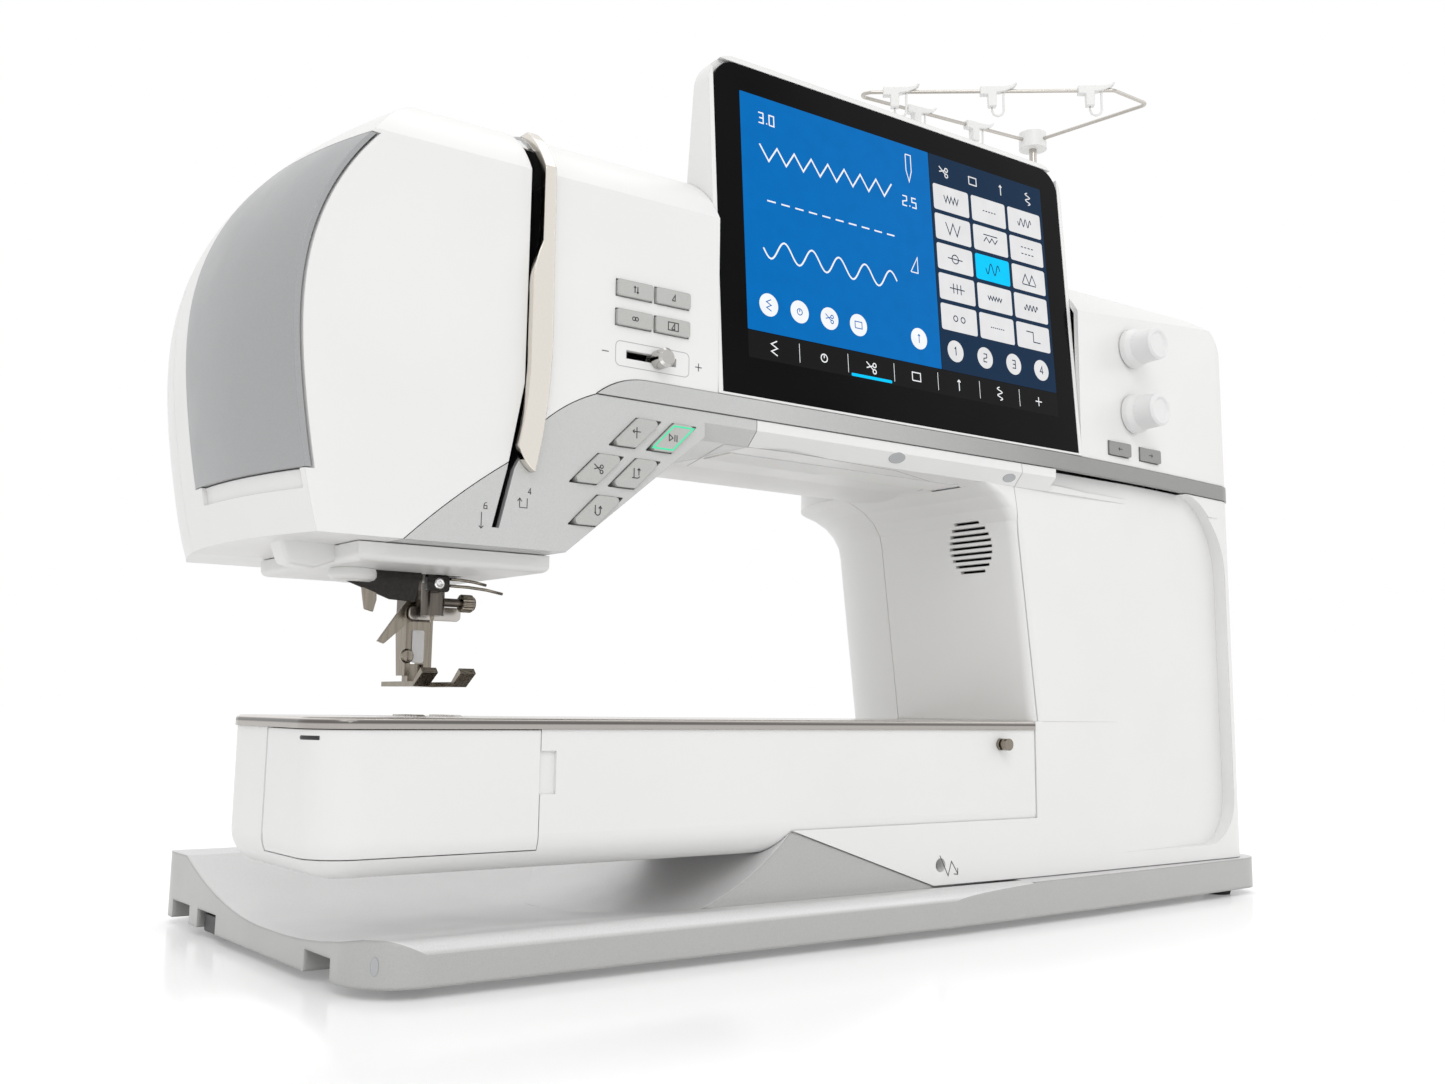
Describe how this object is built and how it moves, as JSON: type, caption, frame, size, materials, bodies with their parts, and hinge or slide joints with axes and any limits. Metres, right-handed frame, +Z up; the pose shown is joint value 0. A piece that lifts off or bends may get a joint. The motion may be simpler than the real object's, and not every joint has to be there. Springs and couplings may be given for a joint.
{
  "type": "sewing machine",
  "caption": "Free-arm sewing and embroidery machine with a wide throat, touch screen, push keys, presser foot, take-up lever and telescopic thread stand on a dished base.",
  "frame": {"origin": "on the table under the middle of the machine's overall box", "axes": "+X to the right along the arm, from the head to the column; +Y to the back; +Z up"},
  "size_m": [0.672, 0.2776, 0.533],
  "materials": {
    "white_shell": "satin white moulding",
    "silver_shell": "silver metallic satin",
    "grey_panel": "grey metallic satin",
    "grey_key": "satin silver grey",
    "white_knob": "satin white",
    "dark_plastic": "matt black",
    "polished_metal": "polished",
    "steel": "fine ground",
    "casting": "as cast",
    "screen_glass": "polished black",
    "lamp_lens": "frosted",
    "rubber": "matt",
    "wheel_plastic": "satin white"
  },
  "bodies": {
    "machine": {"base_plate": "silver_shell", "base_feet": "rubber", "arm_front_cover": "white_shell", "head_face_cover": "white_shell", "head_side_panel": "grey_panel", "control_panel": "silver_shell", "trim_band": "silver_shell", "throat_cover": "white_shell", "column_front_cover": "white_shell", "rear_cover": "white_shell", "head_base": "white_shell", "take_up_liner": "dark_plastic", "take_up_guard": "polished_metal", "screen_housing": "white_shell", "screen_glass": "screen_glass", "free_arm_shell": "white_shell", "bed_plate": "steel", "needle_plate": "steel", "table_stud": "polished_metal", "machine_frame": "casting", "bobbin_case": "steel", "motor": "dark_plastic", "timing_belt": "rubber", "lamp_lens": "lamp_lens", "spool_pins": "white_shell", "mains_inlet": "dark_plastic"},
    "key_needle_position": {"key_needle_position": "grey_key"},
    "key_half_speed": {"key_half_speed": "grey_key"},
    "key_securing": {"key_securing": "grey_key"},
    "key_pattern_end": {"key_pattern_end": "grey_key"},
    "key_threader": {"key_threader": "grey_key"},
    "key_start_stop": {"key_start_stop": "grey_key"},
    "key_thread_cutter": {"key_thread_cutter": "grey_key"},
    "key_presser_foot": {"key_presser_foot": "grey_key"},
    "key_reverse": {"key_reverse": "grey_key"},
    "key_needle_left": {"key_needle_left": "grey_key"},
    "key_needle_right": {"key_needle_right": "grey_key"},
    "speed_slider": {"speed_slider": "polished_metal"},
    "knob_upper": {"knob_upper": "white_knob"},
    "knob_lower": {"knob_lower": "white_knob"},
    "bobbin_door": {"bobbin_door": "white_shell"},
    "feed_dog": {"feed_dog": "steel"},
    "presser_sole": {"presser_sole": "steel"},
    "presser_lever": {"presser_lever": "steel"},
    "lower_shaft": {"lower_shaft": "steel"},
    "rotary_hook": {"rotary_hook": "steel"},
    "bobbin": {"bobbin": "steel"},
    "motor_pulley": {"motor_pulley": "steel"},
    "power_switch": {"power_switch": "dark_plastic"},
    "take_up_lever": {"take_up_lever": "polished_metal"},
    "needle_bar": {"needle_bar": "steel", "needle_clamp": "steel", "needle": "steel"},
    "presser_bar": {"presser_bar": "steel", "presser_foot": "steel"},
    "main_shaft": {"main_shaft": "steel", "handwheel": "wheel_plastic"},
    "thread_stand": {"stand_mast": "polished_metal", "stand_wire": "polished_metal", "stand_clips": "white_shell"}
  },
  "joints": [
    {"name": "key_needle_position_press", "type": "slide", "parent": "machine", "child": "key_needle_position", "axis": [0, 1, 0], "range_m": [0, 0.001], "stiffness_N_per_m": 600},
    {"name": "key_half_speed_press", "type": "slide", "parent": "machine", "child": "key_half_speed", "axis": [0, 1, 0], "range_m": [0, 0.001], "stiffness_N_per_m": 600},
    {"name": "key_securing_press", "type": "slide", "parent": "machine", "child": "key_securing", "axis": [0, 1, 0], "range_m": [0, 0.001], "stiffness_N_per_m": 600},
    {"name": "key_pattern_end_press", "type": "slide", "parent": "machine", "child": "key_pattern_end", "axis": [0, 1, 0], "range_m": [0, 0.001], "stiffness_N_per_m": 600},
    {"name": "key_threader_press", "type": "slide", "parent": "machine", "child": "key_threader", "axis": [0, 1, 0], "range_m": [0, 0.001], "stiffness_N_per_m": 600},
    {"name": "key_start_stop_press", "type": "slide", "parent": "machine", "child": "key_start_stop", "axis": [0, 1, 0], "range_m": [0, 0.001], "stiffness_N_per_m": 600},
    {"name": "key_thread_cutter_press", "type": "slide", "parent": "machine", "child": "key_thread_cutter", "axis": [0, 1, 0], "range_m": [0, 0.001], "stiffness_N_per_m": 600},
    {"name": "key_presser_foot_press", "type": "slide", "parent": "machine", "child": "key_presser_foot", "axis": [0, 1, 0], "range_m": [0, 0.001], "stiffness_N_per_m": 600},
    {"name": "key_reverse_press", "type": "slide", "parent": "machine", "child": "key_reverse", "axis": [0, 1, 0], "range_m": [0, 0.001], "stiffness_N_per_m": 600},
    {"name": "key_needle_left_press", "type": "slide", "parent": "machine", "child": "key_needle_left", "axis": [0, 1, 0], "range_m": [0, 0.001], "stiffness_N_per_m": 600},
    {"name": "key_needle_right_press", "type": "slide", "parent": "machine", "child": "key_needle_right", "axis": [0, 1, 0], "range_m": [0, 0.001], "stiffness_N_per_m": 600},
    {"name": "speed_slide", "type": "slide", "parent": "machine", "child": "speed_slider", "axis": [1, 0, 0], "range_m": [-0.016, 0.0085]},
    {"name": "knob_upper_turn", "type": "hinge", "parent": "machine", "child": "knob_upper", "pos_m": [0.205, -0.125, 0.334], "axis": [0, 1, 0], "continuous": true},
    {"name": "knob_lower_turn", "type": "hinge", "parent": "machine", "child": "knob_lower", "pos_m": [0.205, -0.125, 0.293], "axis": [0, 1, 0], "continuous": true},
    {"name": "bobbin_door_swing", "type": "hinge", "parent": "machine", "child": "bobbin_door", "pos_m": [-0.298, -0.0589, 0.0776], "axis": [0, 0, 1], "range_deg": [-95, 0]},
    {"name": "feed_drop", "type": "slide", "parent": "machine", "child": "feed_dog", "axis": [0, 0, 1], "range_m": [-0.0025, 0]},
    {"name": "needle_stroke", "type": "slide", "parent": "machine", "child": "needle_bar", "axis": [0, 0, 1], "range_m": [-0.031, 0]},
    {"name": "take_up_swing", "type": "hinge", "parent": "machine", "child": "take_up_lever", "pos_m": [-0.214, -0.082, 0.301], "axis": [1, 0, 0], "range_deg": [0, 80]},
    {"name": "presser_lift", "type": "slide", "parent": "machine", "child": "presser_bar", "axis": [0, 0, 1], "range_m": [-0.0122, 0]},
    {"name": "sole_tilt", "type": "hinge", "parent": "presser_bar", "child": "presser_sole", "pos_m": [-0.225, -0.033, 0.1275], "axis": [1, 0, 0], "range_deg": [-6, 6]},
    {"name": "foot_lever_lift", "type": "hinge", "parent": "presser_bar", "child": "presser_lever", "pos_m": [-0.2286, -0.0391, 0.1572], "axis": [0, 1, 0], "range_deg": [0, 45]},
    {"name": "handwheel_turn", "type": "hinge", "parent": "machine", "child": "main_shaft", "pos_m": [0.327, -0.053, 0.318], "axis": [1, 0, 0], "continuous": true},
    {"name": "lower_shaft_turn", "type": "hinge", "parent": "machine", "child": "lower_shaft", "pos_m": [0.25, -0.026, 0.076], "axis": [1, 0, 0], "continuous": true},
    {"name": "hook_turn", "type": "hinge", "parent": "machine", "child": "rotary_hook", "pos_m": [-0.225, -0.04, 0.076], "axis": [0, 1, 0], "continuous": true},
    {"name": "bobbin_turn", "type": "hinge", "parent": "machine", "child": "bobbin", "pos_m": [-0.225, -0.067, 0.076], "axis": [0, 1, 0], "continuous": true},
    {"name": "motor_turn", "type": "hinge", "parent": "machine", "child": "motor_pulley", "pos_m": [0.286, 0.026, 0.205], "axis": [1, 0, 0], "continuous": true},
    {"name": "stand_lift", "type": "slide", "parent": "machine", "child": "thread_stand", "axis": [0, 0, 1], "range_m": [-0.13, 0]},
    {"name": "power_rock", "type": "hinge", "parent": "machine", "child": "power_switch", "pos_m": [0.3285, 0.052, 0.106], "axis": [0, 1, 0], "range_deg": [-16, 0]}
  ],
  "couplings": [
    {"joint": "take_up_swing", "follows": "needle_stroke", "rad_per_m": -45},
    {"joint": "lower_shaft_turn", "follows": "handwheel_turn", "ratio": 1},
    {"joint": "hook_turn", "follows": "handwheel_turn", "ratio": 2},
    {"joint": "motor_turn", "follows": "handwheel_turn", "ratio": 2}
  ]
}
